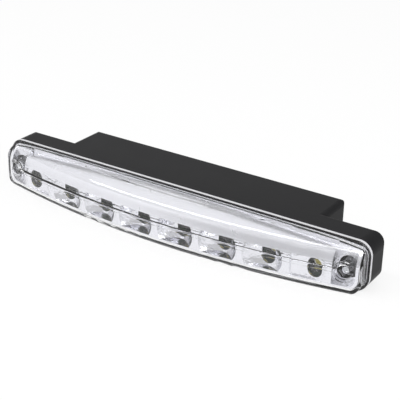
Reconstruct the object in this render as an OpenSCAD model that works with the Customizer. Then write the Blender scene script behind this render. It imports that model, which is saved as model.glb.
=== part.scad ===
// Daytime running light: a slim lamp with eight LEDs behind a clear crowned
// lens, on a black housing whose narrower rear box holds the electrics.
// X runs along the lamp, -Y is the lens side and +Z is up. The lamp stands
// on its flat underside, with the origin under the middle of its outline.

/* [Lamp outline] */
// Overall length of the lamp, at the lens flange
lamp_w = 185; // [170:1:200]
// Overall height of the lamp
lamp_h = 22.5; // [21.5:0.5:25]
// Radius of the two upper corners, seen from the front
top_corner_r = 5.9; // [5.2:0.1:6.6]
// Radius of the two lower corners, seen from the front
low_corner_r = 7.5; // [6.5:0.25:9]

/* [Housing] */
// Depth of the wide front tub, from its rim to its rear wall's outside
tub_d = 11; // [10:0.25:13]
// Wall of the tub and of the rear box
shell_t = 2; // [1.6:0.1:2.2]
// Length of the tub's wing beyond each end of the rear box
wing_w = 26.5; // [24:0.25:29]
// Depth of the rear box behind the tub
box_d = 17.7; // [15:0.1:22]
// Radius of the rear box's long edges
box_corner_r = 2.5; // [2.3:0.1:4]
// Radius of the edges round the rear faces
rear_edge_r = 1.2; // [0.6:0.1:1.5]
// Thickness of the stiffening webs inside the box
web_t = 1.6; // [1.2:0.1:2]

/* [Lens] */
// Distance from the housing's rim to the foremost point of the lens face
crown_d = 17; // [16.6:0.1:18]
// Distance from the housing's rim to the lens face at the lamp's ends
end_d = 6.4; // [6.2:0.1:7]
// Radius of the upright edges at the ends of the lens
end_edge_r = 1.4; // [1:0.1:2]
// Radius with which the lens face runs into its top wall
face_top_r = 9.4; // [9:0.1:9.8]
// Radius between the lens face and its underside
face_low_r = 2.4; // [2:0.1:3]
// Wall of the lens
lens_t = 1.5; // [1.4:0.1:1.8]
// Step from the flange's edge in to the lens walls
crown_step = 1; // [0.8:0.1:1.4]
// Thickness of the flange
flange_t = 0.9; // [0.8:0.1:1.4]
// Radius of the bead along the middle of the face
bead_r = 1.1; // [0.9:0.05:1.15]
// How far the bead and the end rings stand out of the face
bead_out = 0.85; // [0.6:0.05:0.9]
// Distance of the end screw bosses from the lamp's ends
boss_inset = 8; // [7.5:0.25:8.5]
// Diameter of the clear screw bosses
boss_d = 6.4; // [6:0.1:6.8]
// Outer diameter of the rings round the bosses, on the face
ring_d = 8.6; // [8:0.1:9]
// Angle by which the rings lean outward, towards the lamp's ends
ring_lean = 25; // [20:1:27]

/* [Seal] */
// Thickness of the flat seal, as clamped
seal_t = 0.6; // [0.4:0.1:1]
// Step from the housing's outside in to the seal, filled by the flange's lip
seal_step = 0.9; // [0.6:0.05:1.1]

/* [Reflector] */
// Gap between the lens and the reflector
reflector_gap = 0.4; // [0.3:0.1:0.8]
// Wall of the reflector
reflector_t = 1.2; // [1:0.1:1.3]
// Radius of the parabolic cups where they meet the reflector's front
cup_r = 8.8; // [8:0.1:9.4]
// Width of the ribs that part neighbouring cups
cup_rib_t = 1.2; // [0.8:0.1:1.6]
// Distance of the cups' floors in front of the housing's rim
cup_floor_y = 7.2; // [6.8:0.1:7.4]
// Height of the cups' flat ceiling above the LEDs' axes
brow_h = 4.5; // [4.3:0.1:4.8]
// Width of the upright oval LED holes in the cups
cup_hole_d = 6.4; // [6.2:0.1:7]
// Height of the LED holes
cup_hole_h = 8.4; // [8:0.1:8.6]
// Height from the crease along the reflector's brow up to the lamp's top
crease_h = 5.35; // [5.05:0.1:5.75]
// Slope of the reflector's top behind the crease, in degrees
top_slope = 11; // [9.5:0.5:11.5]
// Length of each flat end pocket, from the reflector's tip inward
pocket_w = 10.4; // [10:0.1:12]
// Diameter of the hole round each screw boss
pocket_hole_d = 9; // [8.6:0.1:9.6]
// Width of the seating feet
foot_w = 6; // [4:0.5:8]

/* [LEDs and board] */
// Distance of the row of LEDs below the lamp's middle height
led_drop = 2.2; // [1.8:0.1:2.4]
// Distance from the last LED's axis to the reflector's end pocket
led_margin = 7.2; // [6.8:0.1:7.6]
// Diameter of an LED's round body
led_d = 5; // [4.6:0.1:5.4]
// Diameter of an LED's base collar
led_collar_d = 5.7; // [5.5:0.05:5.9]
// Height of an LED above the board
led_h = 9.4; // [9:0.1:9.6]
// Distance between an LED's two pins
pin_pitch = 2.54; // [2:0.02:3]
// Thickness of the circuit board
board_t = 1.6; // [1.2:0.1:2]
// Gap between the board's ends and the housing's end posts
board_gap = 2.8; // [2:0.1:4]
// Distance of the board's front face behind the housing's rim
board_y = 1.2; // [0.8:0.1:1.6]

/* [Fasteners and fittings] */
// Diameter of the lens screws' shanks
lens_screw_d = 2.8; // [2.5:0.1:3]
// Diameter of the board screws' shanks
board_screw_d = 2.2; // [2:0.1:2.4]
// Bore of the threaded inserts for the mounting bracket
insert_bore_d = 4; // [3.2:0.1:4.2]
// Outer diameter of the threaded inserts
insert_d = 5.8; // [5.6:0.1:6.4]
// Length of the threaded inserts
insert_l = 8; // [6:0.5:9]
// Distance of the threaded inserts from the rear box's ends
insert_inset = 21.75; // [14:0.25:30]
// Bore of the rubber cable gland
gland_bore_d = 3.4; // [3:0.1:4]
// Diameter of the housing's hole for the cable gland
gland_hole_d = 7; // [6.5:0.1:8]

/* [Hidden] */
$fn = 64;
// Count of LEDs, one to each cup
led_count = 8;
// Small overrun for cuts, and the play of parts that slide into each other
over = 0.5;
play = 0.1;

// Shares of the sizes that small forms follow
low_edge_share = 0.6;
ring_root_share = 1.4;
lens_head_share = 0.7;
board_head_share = 0.6;
gland_rim_share = 0.6;
notch_share = 0.26;
led_collar_share = 0.2;
pin_share = 0.1;
solder_share = 3.2;
board_corner_share = 0.8;
resistor_drop_share = 0.25;
diode_rise_share = 0.2;
waist_share = 0.86;
end_cap_share = 0.24;
slot_w_share = 0.16;
slot_l_share = 0.6;

// Places along Y, counted from the housing's rim, and the shift that centres
// the whole lamp over the origin
front_reach = crown_d + bead_out;
rear_reach = tub_d + box_d;
seam_y = (front_reach - rear_reach) / 2;
flange_rear_y = -seal_t;
flange_front_y = flange_rear_y - flange_t;
board_rear_y = board_y + board_t;
tub_floor_y = tub_d - shell_t;
mid_z = lamp_h / 2;
led_z = mid_z - led_drop;

// Places along X, counted from the middle
box_w = lamp_w - 2 * wing_w;
boss_x = lamp_w / 2 - boss_inset;
insert_x = box_w / 2 - insert_inset;
board_screw_x = box_w / 2;

// Plan geometry of the lens face, which sweeps round an upright axis behind
// the lamp; the upright end edges are tangent to the face and the end walls
arc_rise = crown_d - end_d;
crown_r = (pow(lamp_w / 2, 2) + pow(arc_rise, 2)) / (2 * arc_rise);
arc_y = crown_r - crown_d;
sweep_a = atan2(lamp_w / 2 + over, arc_y);
sweep_d = 2 * crown_d;
lens_half_w = lamp_w / 2 - crown_step;

// The end bosses sit where the face leans back by this angle
boss_a = asin(boss_x / crown_r);
boss_face_y = arc_y - crown_r * cos(boss_a);
boss_rear_y = board_y;
boss_wall_t = (boss_d - lens_screw_d) / 2;
ring_t = bead_r;
ring_root_t = lens_t * ring_root_share;
bead_a = asin((boss_x - ring_d / 2 + ring_t / 2) / crown_r);

// Housing posts, bosses and holes
post_d = boss_d + 2 * over;
lens_head_d = 2 * lens_screw_d;
lens_head_h = lens_screw_d * lens_head_share;
lens_head_y = tub_d - lens_head_h - over;
board_head_d = 2 * board_screw_d;
board_head_h = board_screw_d * board_head_share;
board_post_d = board_screw_d + 2 * shell_t;
insert_boss_d = insert_d + 2 * shell_t;
gland_rim_t = shell_t * gland_rim_share;
gland_rim_d = gland_hole_d + 2 * shell_t;
gland_seat_t = 2 * gland_rim_t;
notch_r = lamp_h * notch_share;

// Reflector places
reflector_i = lens_t + reflector_gap;
reflector_inset = crown_step + reflector_i;
reflector_rear_y = flange_front_y;
reflector_r = crown_r - reflector_i;
brow_z = led_z + brow_h;
cup_low_z = reflector_inset + reflector_t;

// Crease where the reflector's sloped top meets its rounded front skin
crease_z = lamp_h - crease_h;
skin_r = face_top_r - reflector_i;
skin_z = lamp_h - crown_step - reflector_i - skin_r;
skin_back = skin_r - sqrt(pow(skin_r, 2) - pow(crease_z - skin_z, 2));
crease_reach = reflector_r - skin_back;
cup_steps = 9;
pocket_x = lamp_w / 2 - reflector_inset - pocket_w;
led_pitch = 2 * (pocket_x - led_margin) / (led_count - 1);
foot_x = led_pitch * 1.5;
web_x = led_pitch;

// LED and board details
led_collar_h = led_d * led_collar_share;
pin_d = led_d * pin_share;
pin_l = board_t + led_collar_h;
solder_d = pin_d * solder_share;
board_inset = reflector_inset;
board_w = 2 * (boss_x - post_d / 2 - board_gap);
board_corner_r = board_t * board_corner_share;

// Axial parts on the rear of the board
resistor_d = 2.4;
resistor_l = 6.4;
diode_d = 2.7;
diode_l = 5.2;
wire_d = 0.6;
resistor_x = [-3 * led_pitch, -led_pitch, led_pitch, 3 * led_pitch] / 2;
resistor_z = mid_z - lamp_h * resistor_drop_share;
diode_z = mid_z + lamp_h * diode_rise_share;

function led_x(i) = (i - (led_count + 1) / 2) * led_pitch;

// Shared forms

// Moves a part from the rim's frame to the lamp's own frame
module placed() {
    translate([0, seam_y, 0]) children();
}

// Rounded plate seen from the front: X across, Z upward
module plate(half_w, low, high, r_high, r_low) {
    translate([-half_w + r_low, low])
        square([2 * (half_w - r_low), high - low - r_high]);
    translate([-half_w + r_high, low + r_low])
        square([2 * (half_w - r_high), high - low - r_low]);
    translate([-half_w, low + r_low])
        square([2 * half_w, high - low - r_low - r_high]);
    for (s = [-1, 1]) {
        translate([s * (half_w - r_high), high - r_high]) circle(r_high);
        translate([s * (half_w - r_low), low + r_low]) circle(r_low);
    }
}

// The lamp's front outline, moved inward all round
module outline(inset) {
    plate(lamp_w / 2 - inset, inset, lamp_h - inset,
        top_corner_r - inset, low_corner_r - inset);
}

// A front outline carried from one depth to another
module between(y_front, y_rear) {
    translate([0, y_rear, 0])
        rotate([90, 0, 0])
            linear_extrude(y_rear - y_front) children();
}

// A round bar along Y, from one depth to another
module bar_y(d, y_front, y_rear) {
    translate([0, y_rear, 0])
        rotate([90, 0, 0]) cylinder(d = d, h = y_rear - y_front);
}

// The same thing at both ends of the lamp
module both_ends() {
    children();
    mirror([1, 0, 0]) children();
}

// Square with its two far corners rounded, to trim the rear edges
module rear_trim(half_w, y_rear) {
    start = -2 * crown_d;
    translate([-half_w, start])
        square([2 * half_w, y_rear - rear_edge_r - start]);
    translate([-half_w + rear_edge_r, start])
        square([2 * (half_w - rear_edge_r), y_rear - start]);
    for (s = [-1, 1])
        translate([s * (half_w - rear_edge_r), y_rear - rear_edge_r])
            circle(rear_edge_r);
}

// Trims a block's rear edges on its four sides
module soft_rear(half_w, y_rear) {
    intersection() {
        children();
        linear_extrude(lamp_h) rear_trim(half_w, y_rear);
        translate([lamp_w / 2, 0, mid_z])
            rotate([0, -90, 0])
                linear_extrude(lamp_w) rear_trim(mid_z, y_rear);
    }
}

// Crowned body of the lens

// Cross-section of the crowned body at a given radius and inset
module crown_section(radius, i) {
    high = lamp_h - crown_step - i;
    low = crown_step + i;
    r_high = face_top_r - i;
    r_low = face_low_r - i * low_edge_share;
    back = radius - sweep_d;
    translate([back, low])
        square([sweep_d - r_low, high - low - r_high]);
    translate([back, low + r_low])
        square([sweep_d - r_high, high - low - r_low]);
    translate([back, low + r_low])
        square([sweep_d, high - low - r_low - r_high]);
    translate([radius - r_high, high - r_high]) circle(r_high);
    translate([radius - r_low, low + r_low]) circle(r_low);
}

// Sweeps a flat shape round the axis of the front arc, a to each side
module arc_sweep(a) {
    translate([0, arc_y, 0])
        rotate([0, 0, -90 - a])
            rotate_extrude(angle = 2 * a, $fn = 720) children();
}

// What the rounding of an upright end edge takes away
module end_edge_cut(i) {
    r = end_edge_r / (1 + i);
    x = lens_half_w - i - r;
    reach = crown_r - i - r;
    y = arc_y - sqrt(reach * reach - x * x);
    a = asin(x / reach);
    far = 3 * r;
    translate([x, y, 0])
        linear_extrude(lamp_h)
            difference() {
                polygon([[0, 0], [far * sin(a), -far * cos(a)],
                    [far, -far], [far, 0]]);
                circle(r);
            }
}

// The crowned body, moved inward by i, back to the given depth
module crown_body(i, y_rear) {
    difference() {
        intersection() {
            between(-crown_d - over, y_rear) outline(crown_step + i);
            arc_sweep(sweep_a) crown_section(crown_r - i, i);
        }
        both_ends() end_edge_cut(i);
    }
}

// Housing

module housing_outside() {
    soft_rear(lamp_w / 2, tub_d)
        between(0, tub_d) outline(0);
    soft_rear(box_w / 2, rear_reach)
        between(shell_t, rear_reach)
            plate(box_w / 2, 0, lamp_h, box_corner_r, box_corner_r);
}

module housing_inside() {
    between(-over, tub_floor_y) outline(shell_t);
    between(0, rear_reach - shell_t)
        plate(box_w / 2 - shell_t, shell_t, lamp_h - shell_t,
            box_corner_r - shell_t, box_corner_r - shell_t);
}

// Web across the box that carries the board, with a notch for the wires
module web(x) {
    translate([x, 0, 0])
        difference() {
            translate([-web_t / 2, board_rear_y, shell_t / 2])
                cube([web_t, rear_reach - shell_t / 2 - board_rear_y,
                    lamp_h - shell_t]);
            translate([-web_t, (tub_d + rear_reach - shell_t) / 2, mid_z])
                rotate([0, 90, 0]) cylinder(r = notch_r, h = 2 * web_t);
            for (s = [-1, 1])
                translate([0, board_rear_y - over,
                        mid_z + s * (mid_z - shell_t / 2)])
                    cube([2 * web_t, 2 * (tub_floor_y - board_rear_y) / 3,
                        2 * shell_t], center = true);
        }
}

// Everything inside the housing that is moulded on to its walls
module housing_bosses() {
    both_ends() {
        translate([boss_x, 0, mid_z])
            bar_y(post_d, boss_rear_y, tub_d - over);
        translate([board_screw_x, 0, mid_z])
            bar_y(board_post_d, board_rear_y, tub_floor_y + shell_t / 2);
        translate([insert_x, 0, mid_z])
            bar_y(insert_boss_d, rear_reach - insert_l - shell_t,
                rear_reach - shell_t / 2);
        web(web_x);
    }
    translate([0, 0, mid_z])
        bar_y(gland_rim_d + 2 * shell_t,
            rear_reach - gland_seat_t - gland_rim_t,
            rear_reach - shell_t / 2);
}

module housing_holes() {
    both_ends() {
        translate([boss_x, 0, mid_z]) {
            bar_y(lens_screw_d + 2 * play, boss_rear_y - over, tub_d + over);
            bar_y(lens_head_d + 2 * play, lens_head_y, tub_d + over);
        }
        translate([board_screw_x, 0, mid_z])
            bar_y(board_screw_d + play, board_rear_y - over,
                tub_floor_y + shell_t / 2);
        translate([insert_x, 0, mid_z])
            bar_y(insert_d, rear_reach - insert_l, rear_reach + over);
    }
    translate([0, 0, mid_z]) {
        bar_y(gland_hole_d, rear_reach - 3 * gland_seat_t,
            rear_reach + over);
        bar_y(gland_rim_d, rear_reach - gland_rim_t, rear_reach + over);
    }
}

module rear_housing() {
    color("#2c2c2f")
        placed()
            difference() {
                union() {
                    difference() {
                        housing_outside();
                        housing_inside();
                    }
                    housing_bosses();
                }
                housing_holes();
            }
}

// Seal between the housing's rim and the lens flange
module perimeter_seal() {
    color("#151515")
        placed()
            between(flange_rear_y, 0)
                difference() {
                    outline(seal_step);
                    outline(shell_t);
                }
}

// Lens

// Flange on the housing's rim, with the lip that hides the seal
module flange() {
    between(flange_front_y, flange_rear_y) outline(0);
    between(flange_front_y, 0)
        difference() {
            outline(0);
            outline(seal_step);
        }
}

// Bead along the middle of the face, up to the end rings
module bead() {
    arc_sweep(bead_a)
        translate([crown_r + bead_out - bead_r, mid_z]) circle(bead_r);
}

// Ring round an end boss, leaning outward more than the face does
module face_ring() {
    translate([boss_x, boss_face_y, mid_z])
        rotate([0, 0, ring_lean])
            difference() {
                bar_y(ring_d, -bead_out, ring_root_t);
                bar_y(ring_d - 2 * ring_t, -bead_out - over, lens_t);
            }
}

// Clear boss that reaches back to the housing's post
module lens_boss() {
    intersection() {
        translate([boss_x, 0, mid_z])
            bar_y(boss_d, -crown_d, boss_rear_y);
        crown_body(lens_t / 2, boss_rear_y + over);
    }
}

module front_lens() {
    color("#dfe6f0", 0.45)
        placed()
            difference() {
                union() {
                    difference() {
                        union() {
                            flange();
                            crown_body(0, flange_rear_y);
                            both_ends() face_ring();
                        }
                        crown_body(lens_t, flange_rear_y + over);
                    }
                    bead();
                    both_ends() lens_boss();
                }
                both_ends()
                    translate([boss_x, 0, mid_z])
                        bar_y(lens_screw_d + play,
                            boss_face_y + lens_t + boss_wall_t / 2,
                            boss_rear_y + over);
            }
}

// Reflector

// Depth of an LED's cup, from the reflector's front to the cup's floor
function cup_d(i) =
    sqrt(reflector_r * reflector_r - led_x(i) * led_x(i))
        - arc_y - cup_floor_y;

// Solid in front of an LED's parabola, started shift behind the cup's floor
module cup_plug(i, shift) {
    scale_z = cup_d(i) / (cup_r * cup_r);
    r_end = sqrt((crown_d - cup_floor_y) / scale_z);
    top = crown_d + shift;
    translate([led_x(i), shift - cup_floor_y, led_z])
        rotate([90, 0, 0])
            rotate_extrude()
                polygon(concat(
                    [for (k = [0:cup_steps]) let (r = r_end * k / cup_steps)
                        [r, scale_z * r * r]],
                    [[r_end, top], [0, top]]));
}

// An LED's share of the reflector's length, drawn in by trim at each side,
// between the cups' flat floor and ceiling moved apart by more
module cell(i, trim, more) {
    translate([led_x(i) - led_pitch / 2 + trim, -crown_d, cup_low_z - more])
        cube([led_pitch - 2 * trim, crown_d, brow_z - cup_low_z + 2 * more]);
}

// Upright oval hole for an LED
module cup_hole(i) {
    rise = (cup_hole_h - cup_hole_d) / 2;
    translate([led_x(i), 0, led_z]) {
        for (s = [-1, 1])
            translate([0, 0, s * rise]) bar_y(cup_hole_d, -crown_d, 0);
        translate([-cup_hole_d / 2, -crown_d, -rise])
            cube([cup_hole_d, crown_d, 2 * rise]);
    }
}

// What lies above the reflector's sloped top, lowered by the given drop
module above_slope(drop) {
    run = 2 * crown_d;
    rise = run * tan(top_slope);
    intersection() {
        cup_zone();
        arc_sweep(sweep_a)
            translate([crease_reach, crease_z - drop])
                polygon([[-run, rise], [run, -rise], [run, lamp_h],
                    [-run, lamp_h]]);
    }
}

// The middle of the reflector, between its end pockets
module cup_zone() {
    translate([-pocket_x, -crown_d - over, 0])
        cube([2 * pocket_x, crown_d + over, lamp_h]);
}

// Flat end pocket round a boss, with its step up to the cups
module end_pocket() {
    between(reflector_rear_y - reflector_t, reflector_rear_y)
        intersection() {
            outline(reflector_inset);
            translate([pocket_x - reflector_t, 0])
                square([pocket_w + reflector_t + over, lamp_h]);
        }
    translate([pocket_x - reflector_t, -crown_d, 0])
        cube([reflector_t, crown_d + reflector_rear_y, lamp_h]);
}

// Side walls all round, front skin, backs of the cups, and end pockets
module reflector_walls() {
    between(-crown_d, reflector_rear_y)
        difference() {
            outline(reflector_inset);
            outline(reflector_inset + reflector_t);
        }
    difference() {
        cup_zone();
        difference() {
            crown_body(reflector_i + reflector_t, over);
            above_slope(reflector_t);
        }
    }
    for (i = [1:led_count])
        intersection() {
            cell(i, 0, reflector_t);
            cup_zone();
            cup_plug(i, reflector_t);
        }
    both_ends() end_pocket();
}

// Feet that carry the reflector on the board
module feet() {
    for (s = [-1, 1])
        intersection() {
            between(reflector_rear_y - over, board_y)
                difference() {
                    outline(reflector_inset);
                    outline(reflector_inset + reflector_t);
                }
            translate([s * foot_x - foot_w / 2, -crown_d, 0])
                cube([foot_w, 2 * crown_d, lamp_h]);
        }
}

module reflector() {
    color("#c9ccd2")
        placed()
            difference() {
                union() {
                    intersection() {
                        reflector_walls();
                        crown_body(reflector_i, reflector_rear_y);
                    }
                    feet();
                }
                above_slope(0);
                for (i = [1:led_count]) {
                    intersection() {
                        cell(i, cup_rib_t / 2, 0);
                        cup_plug(i, 0);
                    }
                    cup_hole(i);
                }
                both_ends()
                    intersection() {
                        between(-crown_d, 0)
                            outline(reflector_inset + reflector_t);
                        translate([boss_x, 0, mid_z])
                            bar_y(pocket_hole_d, -crown_d, 0);
                    }
            }
}

// Board and LEDs

module circuit_board() {
    color("#1f5a34")
        placed()
            difference() {
                between(board_y, board_rear_y)
                    plate(board_w / 2, board_inset, lamp_h - board_inset,
                        board_corner_r, board_corner_r);
                for (i = [1:led_count], s = [-1, 1])
                    translate([led_x(i) + s * pin_pitch / 2, 0, led_z])
                        bar_y(pin_d + 2 * play, board_y - over,
                            board_rear_y + over);
                both_ends()
                    translate([board_screw_x, 0, mid_z])
                        bar_y(board_screw_d + 2 * play, board_y - over,
                            board_rear_y + over);
            }
}

module led(i) {
    dome_y = board_y - led_h + led_d / 2;
    color("#e9edf2")
        placed()
            translate([led_x(i), 0, led_z]) {
                bar_y(led_collar_d, board_y - led_collar_h, board_y);
                bar_y(led_d, dome_y, board_y);
                translate([0, dome_y, 0])
                    rotate([90, 0, 0]) sphere(d = led_d);
            }
}

// All sixteen LED pins with their solder cones
module led_pins() {
    color("#b9bcc0")
        placed()
            for (i = [1:led_count], s = [-1, 1])
                translate([led_x(i) + s * pin_pitch / 2, 0, led_z]) {
                    bar_y(pin_d, board_y, board_y + pin_l);
                    translate([0, board_rear_y, 0])
                        rotate([-90, 0, 0])
                            cylinder(d1 = solder_d, d2 = pin_d,
                                h = pin_l - board_t, $fn = 24);
                }
}

// A wire-ended part that lies along X on the rear of the board
module axial_part(x, z, d, l) {
    span = l + 4 * wire_d;
    cap_l = l * end_cap_share;
    y = board_rear_y + d / 2;
    translate([x, y, z]) {
        rotate([0, 90, 0]) {
            cylinder(d = d * waist_share, h = l, center = true);
            for (s = [-1, 1])
                translate([0, 0, s * (l - cap_l) / 2])
                    cylinder(d = d, h = cap_l, center = true);
            cylinder(d = wire_d, h = span, center = true);
        }
        for (s = [-1, 1])
            translate([s * span / 2, 0, 0]) {
                sphere(d = wire_d, $fn = 24);
                bar_y(wire_d, -d / 2, 0);
            }
    }
}

module resistor(i) {
    color("#c7a77a")
        placed() axial_part(resistor_x[i - 1], resistor_z,
            resistor_d, resistor_l);
}

module rectifier_diode() {
    color("#202020")
        placed() axial_part(led_pitch * 1.5, diode_z, diode_d, diode_l);
}

// Screws, driven from behind for the lens and from the front for the board

module board_screw(s) {
    color("#a8abb0")
        placed()
            translate([s * board_screw_x, 0, mid_z])
                difference() {
                    union() {
                        bar_y(board_head_d, board_y - board_head_h, board_y);
                        bar_y(board_screw_d, board_y - board_head_h,
                            tub_floor_y);
                    }
                    cross_slot(board_head_d, board_y - board_head_h,
                        board_head_h / 2);
                }
}

module lens_screw(s) {
    head_rear_y = lens_head_y + lens_head_h;
    color("#b4b7bc")
        placed()
            translate([s * boss_x, 0, mid_z])
                difference() {
                    union() {
                        bar_y(lens_head_d, lens_head_y, head_rear_y);
                        bar_y(lens_screw_d,
                            boss_face_y + lens_t + boss_wall_t,
                            head_rear_y);
                    }
                    cross_slot(lens_head_d,
                        head_rear_y - lens_head_h / 2, lens_head_h);
                }
}

// Cross recess of a screw head, cut to a depth from its first face
module cross_slot(head_d, y, depth) {
    slot_w = head_d * slot_w_share;
    slot_l = head_d * slot_l_share;
    for (a = [0, 90])
        translate([0, y + depth / 2 - play, 0])
            rotate([0, a, 0])
                cube([slot_l, depth, slot_w], center = true);
}

// Fittings in the rear face

// Soft gland: a rim outside, a groove round the wall and a collar inside
module cable_gland() {
    color("#1b1b1b")
        placed()
            translate([0, 0, mid_z])
                difference() {
                    union() {
                        bar_y(gland_rim_d - play,
                            rear_reach - gland_rim_t, rear_reach);
                        bar_y(gland_hole_d - play,
                            rear_reach - 3 * gland_seat_t, rear_reach);
                    }
                    bar_y(gland_bore_d, rear_reach - 4 * gland_seat_t,
                        rear_reach + over);
                }
}

module mount_insert(s) {
    color("#c2a24d")
        placed()
            translate([s * insert_x, 0, mid_z])
                difference() {
                    bar_y(insert_d, rear_reach - insert_l, rear_reach);
                    bar_y(insert_bore_d, rear_reach - insert_l - over,
                        rear_reach + over);
                }
}

rear_housing();
front_lens();
perimeter_seal();
reflector();
circuit_board();
led(1);  // led_1
led(2);  // led_2
led(3);  // led_3
led(4);  // led_4
led(5);  // led_5
led(6);  // led_6
led(7);  // led_7
led(8);  // led_8
led_pins();
resistor(1);  // resistor_1
resistor(2);  // resistor_2
resistor(3);  // resistor_3
resistor(4);  // resistor_4
rectifier_diode();
board_screw(-1);  // board_screw_left
board_screw(1);  // board_screw_right
lens_screw(-1);  // lens_screw_left
lens_screw(1);  // lens_screw_right
cable_gland();
mount_insert(-1);  // mount_insert_left
mount_insert(1);  // mount_insert_right
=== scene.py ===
"""Dresses the daytime running light: camera, light, materials and small pieces."""

import math

import bpy
from mathutils import Matrix, Vector


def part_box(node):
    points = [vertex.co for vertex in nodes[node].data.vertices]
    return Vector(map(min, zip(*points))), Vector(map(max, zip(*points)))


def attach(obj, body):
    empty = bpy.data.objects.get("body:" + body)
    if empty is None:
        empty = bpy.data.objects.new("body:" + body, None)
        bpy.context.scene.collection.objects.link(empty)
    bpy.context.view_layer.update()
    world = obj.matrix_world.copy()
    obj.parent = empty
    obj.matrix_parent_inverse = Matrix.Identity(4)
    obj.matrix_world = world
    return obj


MM = 0.001

# The camera, fitted to the outline of the lamp in the photograph
CAMERA_TARGET = Vector((0.0, 4.575, 11.5)) * MM
CAMERA_DISTANCE = 458.48 * MM
CAMERA_AZIMUTH = math.radians(33.391)
CAMERA_ELEVATION = math.radians(25.561)
CAMERA_ROLL = math.radians(0.899)
CAMERA_ASIDE = -4.813 * MM
CAMERA_RAISED = -0.248 * MM
FRAME_PX = 400
FOCAL_PX = 1047.84
CENTRE_PX = (199.69, 198.90)
SENSOR_MM = 36.0
CLIP_NEAR = 0.01
CLIP_FAR = 20.0

# The studio: how bright the world lights, and the duller room at the front that
# only mirrors and see-through pieces show
WORLD_LEVEL = 0.75
ROOM_DIRECTION = (0.33, -0.85, 0.41)
ROOM_EDGE = (0.55, 0.80)
ROOM_LEVEL = 0.62

# Lamps: place, width and height in metres, and power in watts
KEY_LAMP = ((0.0, -0.30, 0.75), (1.5, 0.10), 3.4)
SIDE_LAMP = ((0.8, -0.15, 0.35), (0.4, 0.4), 1.2)
LAMPS_AIM = Vector((0.0, 0.0, 0.0))

# Places on the lens and reflector in millimetres, as the part's source has them
FLANGE_FRONT_Y = -6.925
BROW_Z = 13.5
CROWN_CENTRE_Y = 386.475
CREASE_REACH = 405.05
CREASE_Z = 17.15
TOP_SLOPE = math.tan(math.radians(11))
REFLECTOR_TOP_Z = 19.6
CUPS_HALF_W = 79.2

# The chrome's roughness above and inside the cups, and in millimetres the ramp
# between the two, its long waves and the ripple inside the cups
SATIN_ROUGH = (0.22, 0.30)
BRIGHT_ROUGH = (0.01, 0.05)
BROW_BLEND = 0.3
CHROME_WAVE = 5.0
RIPPLE_SIZE = 2.0
RIPPLE_DEPTH = 0.35

# The flange's frosted edge: the share of light that it passes, its roughness,
# and where it begins behind the front face, in millimetres
FROSTED_PASSES = 0.3
FROSTED_ROUGH = 0.5
FROST_START = (0.05, 0.15)

# The floor in metres, and how much of it glows where it is seen or mirrored
FLOOR_HALF = 3.0
FLOOR_DROP = 0.05 * MM
FLOOR_GLOW = 0.8

# Noise on surfaces, with scales per metre, and where a tint's two colours lie
NOISE_ROUGHNESS = 0.55
CLOUD_SCALE = 60.0
HAZE_SCALE = 400.0
TINT_EDGES = (0.3, 0.7)

# Clear plastics
LENS_IOR = 1.49
LED_IOR = 1.52
LENS_HAZE = (0.0, 0.015)
LED_HAZE = (0.0, 0.03)
LENS_TINT = (0.975, 0.978, 0.99)
FROSTED_TINT = (0.86, 0.86, 0.89)

# Lead frame inside an LED in millimetres: anvil with its cup, and wire post
LED_COUNT = 8
LED_SLOT = "tinned_metal"
ANVIL_W = 2.2
POST_W = 0.8
FRAME_T = 0.5
FRAME_H = 5.0
FRAME_GAP = 0.45
FRAME_SUNK = 0.3
CUP_R = 1.15
CUP_DEPTH = 0.75
CUP_FOOT_SHARE = 0.6
CUP_INNER_SHARE = 0.85
CUP_SIDES = 24
PHOSPHOR_RISE = 0.12

# The lip along the rear edge of the reflector's sloped top, in millimetres
LIP_T = 0.35
LIP_CLEARANCE = 0.03
LIP_STEPS = 96
LIP_SLOT = "reflector_chrome"

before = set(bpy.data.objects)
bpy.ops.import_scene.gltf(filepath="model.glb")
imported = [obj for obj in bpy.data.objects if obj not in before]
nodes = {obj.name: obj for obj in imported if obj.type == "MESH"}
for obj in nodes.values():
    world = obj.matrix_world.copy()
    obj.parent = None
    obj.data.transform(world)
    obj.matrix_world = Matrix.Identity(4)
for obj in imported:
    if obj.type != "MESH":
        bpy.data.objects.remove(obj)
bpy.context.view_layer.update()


# Camera


def make_camera():
    """Puts the camera where the photograph was taken from."""
    sa, ca = math.sin(CAMERA_AZIMUTH), math.cos(CAMERA_AZIMUTH)
    se, ce = math.sin(CAMERA_ELEVATION), math.cos(CAMERA_ELEVATION)
    back = Vector((sa * ce, -ca * ce, se))
    level = Vector((ca, sa, 0.0))
    up = back.cross(level)
    right = math.cos(CAMERA_ROLL) * level + math.sin(CAMERA_ROLL) * up
    up = back.cross(right)
    place = CAMERA_TARGET + CAMERA_DISTANCE * back
    place = place - CAMERA_ASIDE * right - CAMERA_RAISED * up
    data = bpy.data.cameras.new("camera")
    data.sensor_width = SENSOR_MM
    data.lens = FOCAL_PX * SENSOR_MM / FRAME_PX
    data.shift_x = -(CENTRE_PX[0] - FRAME_PX / 2) / FRAME_PX
    data.shift_y = (CENTRE_PX[1] - FRAME_PX / 2) / FRAME_PX
    data.clip_start = CLIP_NEAR
    data.clip_end = CLIP_FAR
    camera = bpy.data.objects.new("camera", data)
    turn = Matrix((right, up, back)).transposed().to_4x4()
    camera.matrix_world = Matrix.Translation(place) @ turn
    bpy.context.scene.collection.objects.link(camera)
    bpy.context.scene.camera = camera


# Node helpers


def new_material(name):
    """Returns a new node material with its tree and its surface shader."""
    material = bpy.data.materials.new(name)
    material.use_nodes = True
    tree = material.node_tree
    shader = tree.nodes["Principled BSDF"]
    return material, tree, shader


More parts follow.
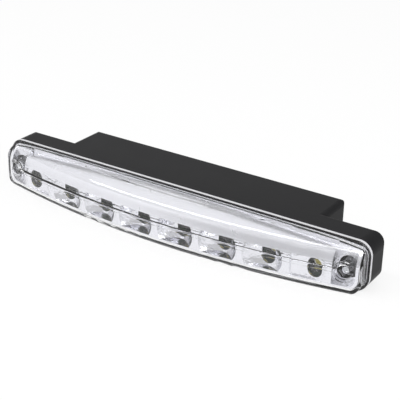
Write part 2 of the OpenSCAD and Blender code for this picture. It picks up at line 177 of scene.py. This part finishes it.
def add(tree, kind, **values):
    """Adds a node and sets its inputs by name and its own properties."""
    node = tree.nodes.new(kind)
    for key, value in values.items():
        if key in node.inputs:
            node.inputs[key].default_value = value
        else:
            setattr(node, key, value)
    return node


def object_noise(tree, scale, detail=2.0):
    """Noise in the lamp's own coordinates, in metres."""
    place = add(tree, "ShaderNodeTexCoord")
    noise = add(tree, "ShaderNodeTexNoise", Scale=scale, Detail=detail)
    noise.inputs["Roughness"].default_value = NOISE_ROUGHNESS
    tree.links.new(place.outputs["Object"], noise.inputs["Vector"])
    return noise.outputs["Fac"]


def spread(tree, value, low, high):
    """Maps a 0 to 1 value to a range."""
    ranged = add(tree, "ShaderNodeMapRange")
    ranged.inputs["To Min"].default_value = low
    ranged.inputs["To Max"].default_value = high
    tree.links.new(value, ranged.inputs["Value"])
    return ranged.outputs["Result"]


def tint(tree, value, dark, light):
    """Blends two colours by a value."""
    ramp = add(tree, "ShaderNodeValToRGB")
    ramp.color_ramp.elements[0].color = (*dark, 1.0)
    ramp.color_ramp.elements[0].position = TINT_EDGES[0]
    ramp.color_ramp.elements[1].color = (*light, 1.0)
    ramp.color_ramp.elements[1].position = TINT_EDGES[1]
    tree.links.new(value, ramp.inputs["Fac"])
    return ramp.outputs["Color"]


def brighter_of(tree, first, second):
    """The larger of two values."""
    node = add(tree, "ShaderNodeMath", operation="MAXIMUM")
    tree.links.new(first, node.inputs[0])
    tree.links.new(second, node.inputs[1])
    return node.outputs["Value"]


def between(tree, share, low, high):
    """The value at a share of the way from low to high; each may be a socket."""
    node = add(tree, "ShaderNodeMapRange")
    tree.links.new(share, node.inputs["Value"])
    for name, value in (("To Min", low), ("To Max", high)):
        if isinstance(value, float):
            node.inputs[name].default_value = value
        else:
            tree.links.new(value, node.inputs[name])
    return node.outputs["Result"]


def step(tree, value, low, high):
    """A short ramp from 0 to 1 between two places in millimetres."""
    ramp = add(tree, "ShaderNodeMapRange")
    ramp.inputs["From Min"].default_value = low * MM
    ramp.inputs["From Max"].default_value = high * MM
    tree.links.new(value, ramp.inputs["Value"])
    return ramp.outputs["Result"]


def bump(tree, shader, height, distance):
    """Roughens a surface by a height."""
    node = add(tree, "ShaderNodeBump", Distance=distance)
    tree.links.new(height, node.inputs["Height"])
    tree.links.new(node.outputs["Normal"], shader.inputs["Normal"])


# Materials


def moulded_plastic(name, dark, light, rough, grain_mm, depth_mm, gloss=0.3):
    """Moulded plastic or rubber with a fine even grain."""
    material, tree, shader = new_material(name)
    grain = object_noise(tree, 1.0 / (grain_mm * MM), 4.0)
    cloud = object_noise(tree, CLOUD_SCALE)
    tree.links.new(tint(tree, cloud, dark, light), shader.inputs["Base Color"])
    tree.links.new(spread(tree, cloud, *rough), shader.inputs["Roughness"])
    shader.inputs["Specular IOR Level"].default_value = gloss
    bump(tree, shader, grain, depth_mm * MM)
    return material


def metal(name, colour_dark, colour_light, rough, wave_mm, depth_mm):
    """Bare or plated metal with slight unevenness."""
    material, tree, shader = new_material(name)
    cloud = object_noise(tree, 1.0 / (wave_mm * MM))
    colour = tint(tree, cloud, colour_dark, colour_light)
    tree.links.new(colour, shader.inputs["Base Color"])
    shader.inputs["Metallic"].default_value = 1.0
    tree.links.new(spread(tree, cloud, *rough), shader.inputs["Roughness"])
    bump(tree, shader, cloud, depth_mm * MM)
    return material


def clear_plastic(name, colour, rough, ior):
    """Clear plastic, solid and see-through."""
    material, tree, shader = new_material(name)
    shader.inputs["Base Color"].default_value = (*colour, 1.0)
    shader.inputs["Transmission Weight"].default_value = 1.0
    shader.inputs["IOR"].default_value = ior
    haze = object_noise(tree, HAZE_SCALE)
    tree.links.new(spread(tree, haze, *rough), shader.inputs["Roughness"])
    let_light_through(tree, shader)
    return material


def let_light_through(tree, shader):
    """Lets lamps light what lies behind a clear piece."""
    path = add(tree, "ShaderNodeLightPath")
    clear = add(tree, "ShaderNodeBsdfTransparent")
    mix = add(tree, "ShaderNodeMixShader")
    tree.links.new(path.outputs["Is Shadow Ray"], mix.inputs["Fac"])
    tree.links.new(shader.outputs["BSDF"], mix.inputs[1])
    tree.links.new(clear.outputs["BSDF"], mix.inputs[2])
    out = tree.nodes["Material Output"]
    tree.links.new(mix.outputs["Shader"], out.inputs["Surface"])


def reflector_material():
    """Metallised plastic, satin above the cups, bright and uneven inside them."""
    material, tree, shader = new_material("metallised_plastic")
    shader.inputs["Base Color"].default_value = (0.87, 0.87, 0.90, 1.0)
    shader.inputs["Metallic"].default_value = 1.0
    cloud = object_noise(tree, 1.0 / (CHROME_WAVE * MM))
    place = add(tree, "ShaderNodeTexCoord")
    split = add(tree, "ShaderNodeSeparateXYZ")
    tree.links.new(place.outputs["Object"], split.inputs["Vector"])
    inside = step(tree, split.outputs["Z"], BROW_Z + BROW_BLEND, BROW_Z - BROW_BLEND)
    satin = spread(tree, cloud, *SATIN_ROUGH)
    bright = spread(tree, cloud, *BRIGHT_ROUGH)
    rough = between(tree, inside, satin, bright)
    tree.links.new(rough, shader.inputs["Roughness"])
    ripple = object_noise(tree, 1.0 / (RIPPLE_SIZE * MM))
    height = add(tree, "ShaderNodeMath", operation="MULTIPLY")
    tree.links.new(ripple, height.inputs[0])
    tree.links.new(inside, height.inputs[1])
    bump(tree, shader, height.outputs["Value"], RIPPLE_DEPTH * MM)
    return material


def lens_material():
    """Clear plastic, frosted on the edge of the flange behind its front face."""
    material, tree, shader = new_material("clear_lens")
    shader.inputs["IOR"].default_value = LENS_IOR
    place = add(tree, "ShaderNodeTexCoord")
    split = add(tree, "ShaderNodeSeparateXYZ")
    tree.links.new(place.outputs["Object"], split.inputs["Vector"])
    low, high = (FLANGE_FRONT_Y + offset for offset in FROST_START)
    share = step(tree, split.outputs["Y"], low, high)
    colour = tint(tree, share, LENS_TINT, FROSTED_TINT)
    tree.links.new(colour, shader.inputs["Base Color"])
    passed = spread(tree, share, 1.0, FROSTED_PASSES)
    tree.links.new(passed, shader.inputs["Transmission Weight"])
    haze = spread(tree, object_noise(tree, HAZE_SCALE), *LENS_HAZE)
    rough = between(tree, share, haze, FROSTED_ROUGH)
    tree.links.new(rough, shader.inputs["Roughness"])
    let_light_through(tree, shader)
    return material


def board_material():
    """Green solder mask with a faint grid of tracks."""
    material, tree, shader = new_material("solder_mask")
    place = add(tree, "ShaderNodeTexCoord")
    tracks = add(tree, "ShaderNodeTexBrick", Scale=90.0)
    tracks.inputs["Color1"].default_value = (0.010, 0.060, 0.022, 1.0)
    tracks.inputs["Color2"].default_value = (0.012, 0.070, 0.026, 1.0)
    tracks.inputs["Mortar"].default_value = (0.020, 0.105, 0.040, 1.0)
    tracks.inputs["Mortar Size"].default_value = 0.035
    tree.links.new(place.outputs["Object"], tracks.inputs["Vector"])
    tree.links.new(tracks.outputs["Color"], shader.inputs["Base Color"])
    shader.inputs["Roughness"].default_value = 0.3
    bump(tree, shader, tracks.outputs["Fac"], 0.02 * MM)
    return material


def dress(material, *names):
    """Gives CAD nodes a material."""
    for name in names:
        for entry in nodes[name].material_slots:
            entry.material = material


def add_piece(name, verts, faces, slot, *materials):
    """Adds a piece, given in millimetres, that rides on the lamp."""
    mesh = bpy.data.meshes.new(name)
    mesh.from_pydata([tuple(c * MM for c in v) for v in verts], [], faces)
    for material in materials:
        mesh.materials.append(material)
    piece = bpy.data.objects.new(name, mesh)
    bpy.context.scene.collection.objects.link(piece)
    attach(piece, "root")
    return piece


def slope_z(x, y):
    """Height of the reflector's sloped top at a place, in millimetres."""
    return CREASE_Z + (CREASE_REACH - math.hypot(x, y - CROWN_CENTRE_Y)) * TOP_SLOPE


def make_top_lip(material):
    """Closes the slot between the sloped top's rear edge and the top wall."""
    half = CUPS_HALF_W - LIP_T
    front = FLANGE_FRONT_Y
    verts = []
    for k in range(LIP_STEPS + 1):
        x = half * (2 * k / LIP_STEPS - 1)
        for y in (front, front + LIP_T):
            foot = slope_z(x, y) + LIP_CLEARANCE
            head = max(REFLECTOR_TOP_Z, foot + LIP_CLEARANCE)
            verts += [(x, y, foot), (x, y, head)]
    faces = [(0, 1, 3, 2)]
    for k in range(LIP_STEPS):
        a, b = 4 * k, 4 * k + 4
        faces += [
            (a, b, b + 1, a + 1),
            (a + 1, b + 1, b + 3, a + 3),
            (a + 3, b + 3, b + 2, a + 2),
            (a + 2, b + 2, b, a),
        ]
    last = 4 * LIP_STEPS
    faces.append((last, last + 2, last + 3, last + 1))
    add_piece("reflector_top_lip", verts, faces, LIP_SLOT, material)


def block(verts, faces, low, high):
    """Adds a box between two corners."""
    base = len(verts)
    xs, ys, zs = zip(low, high)
    verts += [(x, y, z) for x in xs for y in ys for z in zs]
    sides = (
        (0, 1, 3, 2),
        (4, 6, 7, 5),
        (0, 4, 5, 1),
        (2, 3, 7, 6),
        (0, 2, 6, 4),
        (1, 5, 7, 3),
    )
    faces += [tuple(base + k for k in quad) for quad in sides]


def turned_cup(verts, faces, x0, z0, top):
    """Adds the cup's closed foot, wall and lip, and returns its inner edge."""
    first = len(verts)
    rings = (
        (CUP_R * CUP_FOOT_SHARE, top + CUP_DEPTH),
        (CUP_R, top),
        (CUP_R * CUP_INNER_SHARE, top),
    )
    for radius, y in rings:
        for k in range(CUP_SIDES):
            turn = 2 * math.pi * k / CUP_SIDES
            x, z = x0 + radius * math.cos(turn), z0 + radius * math.sin(turn)
            verts.append((x, y, z))
    starts = [first + r * CUP_SIDES for r in range(len(rings))]
    loops = [range(start, start + CUP_SIDES) for start in starts]
    faces.append(tuple(loops[0]))
    for near, far in zip(loops, loops[1:]):
        for k in range(CUP_SIDES):
            after = (k + 1) % CUP_SIDES
            faces.append((near[k], far[k], far[after], near[after]))
    return loops[-1]


def make_led_frame(number, steel, phosphor):
    """Anvil, cup and post inside one LED, with the phosphor in the cup."""
    low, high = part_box(f"led_{number}")
    x0 = (low[0] + high[0]) / 2 / MM
    z0 = (low[2] + high[2]) / 2 / MM
    base = high[1] / MM - FRAME_SUNK
    top = base - FRAME_H
    post = x0 + 2 * FRAME_GAP
    cup_x = x0 - FRAME_GAP / 2
    t = FRAME_T / 2
    verts, faces = [], []
    anvil_low = (x0 - ANVIL_W / 2, top + CUP_DEPTH, z0 - t)
    block(verts, faces, anvil_low, (x0 + FRAME_GAP, base, z0 + t))
    post_low = (post, top + CUP_DEPTH / 2, z0 - t)
    block(verts, faces, post_low, (post + POST_W, base, z0 + t))
    edge = turned_cup(verts, faces, cup_x, z0, top)
    metal_faces = len(faces)
    tip = len(verts)
    verts.append((cup_x, top - PHOSPHOR_RISE, z0))
    faces += [(edge[k], tip, edge[(k + 1) % CUP_SIDES]) for k in range(CUP_SIDES)]
    piece = add_piece(f"led_frame_{number}", verts, faces, LED_SLOT, steel, phosphor)
    for k, face in enumerate(piece.data.polygons):
        face.material_index = int(k >= metal_faces)


def dress_all():
    """Gives every CAD node its material."""
    dress(
        moulded_plastic(
            "housing_plastic",
            (0.0055, 0.0055, 0.0065),
            (0.0080, 0.0080, 0.0090),
            (0.38, 0.50),
            0.35,
            0.012,
            0.08,
        ),
        "rear_housing",
    )
    dress(
        moulded_plastic(
            "seal_rubber", (0.016,) * 3, (0.024,) * 3, (0.6, 0.75), 0.3, 0.02
        ),
        "perimeter_seal",
        "cable_gland",
    )
    dress(lens_material(), "front_lens")
    metallised = reflector_material()
    dress(metallised, "reflector")
    make_top_lip(metallised)
    dress(board_material(), "circuit_board")
    leds = [f"led_{i}" for i in range(1, LED_COUNT + 1)]
    dress(clear_plastic("clear_epoxy", (0.90, 0.91, 0.88), LED_HAZE, LED_IOR), *leds)
    tinned = metal("tinned", (0.55,) * 3, (0.70,) * 3, (0.25, 0.4), 0.8, 0.02)
    dress(tinned, "led_pins")
    phosphor = moulded_plastic(
        "phosphor", (0.78, 0.66, 0.16), (0.86, 0.76, 0.26), (0.5, 0.6), 0.15, 0.01
    )
    for number in range(1, LED_COUNT + 1):
        make_led_frame(number, tinned, phosphor)
    dress(
        metal("zinc_plated", (0.60, 0.61, 0.62), (0.72, 0.73, 0.74), (0.22, 0.35), 0.7, 0.01),
        "board_screw_left",
        "board_screw_right",
        "lens_screw_left",
        "lens_screw_right",
    )
    dress(
        metal("turned_brass", (0.60, 0.42, 0.16), (0.72, 0.52, 0.22), (0.25, 0.4), 0.6, 0.02),
        "mount_insert_left",
        "mount_insert_right",
    )
    resistors = [f"resistor_{i}" for i in range(1, 5)]
    dress(
        moulded_plastic(
            "resistor_lacquer", (0.45, 0.32, 0.18), (0.55, 0.40, 0.24), (0.35, 0.5), 0.3, 0.01
        ),
        *resistors,
    )
    dress(
        moulded_plastic("diode_epoxy", (0.01,) * 3, (0.02,) * 3, (0.4, 0.5), 0.2, 0.01),
        "rectifier_diode",
    )


# Stage and light


def make_world():
    """A white studio with a duller room behind the camera, for reflections."""
    world = bpy.data.worlds.new("studio")
    bpy.context.scene.world = world
    world.use_nodes = True
    tree = world.node_tree
    tree.nodes.clear()
    out = add(tree, "ShaderNodeOutputWorld")
    path = add(tree, "ShaderNodeLightPath")
    place = add(tree, "ShaderNodeTexCoord")
    towards = add(tree, "ShaderNodeVectorMath", operation="DOT_PRODUCT")
    towards.inputs[1].default_value = ROOM_DIRECTION
    tree.links.new(place.outputs["Generated"], towards.inputs[0])
    room = add(tree, "ShaderNodeMapRange", interpolation_type="SMOOTHSTEP")
    room.inputs["From Min"].default_value = ROOM_EDGE[0]
    room.inputs["From Max"].default_value = ROOM_EDGE[1]
    room.inputs["To Min"].default_value = 1.0
    room.inputs["To Max"].default_value = ROOM_LEVEL
    tree.links.new(towards.outputs["Value"], room.inputs["Value"])
    mirrored = brighter_of(
        tree, path.outputs["Is Glossy Ray"], path.outputs["Is Transmission Ray"]
    )
    level = between(tree, mirrored, WORLD_LEVEL, room.outputs["Result"])
    level = between(tree, path.outputs["Is Camera Ray"], level, 1.0)
    shader = add(tree, "ShaderNodeBackground", Color=(1.0, 1.0, 1.0, 1.0))
    tree.links.new(level, shader.inputs["Strength"])
    tree.links.new(shader.outputs["Background"], out.inputs["Surface"])


def make_floor():
    """A plain pale floor that keeps the lamp's soft shadow."""
    a, b = -FLOOR_HALF, FLOOR_HALF
    mesh = bpy.data.meshes.new("floor")
    corners = [(a, a, 0), (b, a, 0), (b, b, 0), (a, b, 0)]
    mesh.from_pydata(corners, [], [(0, 1, 2, 3)])
    floor = bpy.data.objects.new("floor", mesh)
    bpy.context.scene.collection.objects.link(floor)
    floor.location.z = -FLOOR_DROP
    material, tree, shader = new_material("floor_paper")
    shader.inputs["Base Color"].default_value = (0.92, 0.92, 0.92, 1.0)
    shader.inputs["Roughness"].default_value = 0.9
    shader.inputs["Specular IOR Level"].default_value = 0.0
    glow = add(tree, "ShaderNodeEmission", Color=(1.0, 1.0, 1.0, 1.0), Strength=1.0)
    path = add(tree, "ShaderNodeLightPath")
    seen = brighter_of(
        tree, path.outputs["Is Glossy Ray"], path.outputs["Is Transmission Ray"]
    )
    seen = brighter_of(tree, path.outputs["Is Camera Ray"], seen)
    share = add(tree, "ShaderNodeMath", operation="MULTIPLY")
    share.inputs[1].default_value = FLOOR_GLOW
    tree.links.new(seen, share.inputs[0])
    mix = add(tree, "ShaderNodeMixShader")
    tree.links.new(share.outputs["Value"], mix.inputs["Fac"])
    tree.links.new(shader.outputs["BSDF"], mix.inputs[1])
    tree.links.new(glow.outputs["Emission"], mix.inputs[2])
    out = tree.nodes["Material Output"]
    tree.links.new(mix.outputs["Shader"], out.inputs["Surface"])
    mesh.materials.append(material)


def softbox(name, place, size, power):
    """One soft lamp that faces the object."""
    data = bpy.data.lights.new(name, "AREA")
    data.shape = "RECTANGLE"
    data.size, data.size_y = size
    data.energy = power
    lamp = bpy.data.objects.new(name, data)
    lamp.location = place
    aim = LAMPS_AIM - Vector(place)
    lamp.rotation_mode = "QUATERNION"
    lamp.rotation_quaternion = aim.to_track_quat("-Z", "Y")
    bpy.context.scene.collection.objects.link(lamp)


def make_lights():
    """A long strip lamp above the lens and a small one at the right."""
    softbox("key", *KEY_LAMP)
    softbox("side", *SIDE_LAMP)


make_camera()
dress_all()
make_world()
make_floor()
make_lights()
bpy.context.scene.view_settings.view_transform = "Standard"
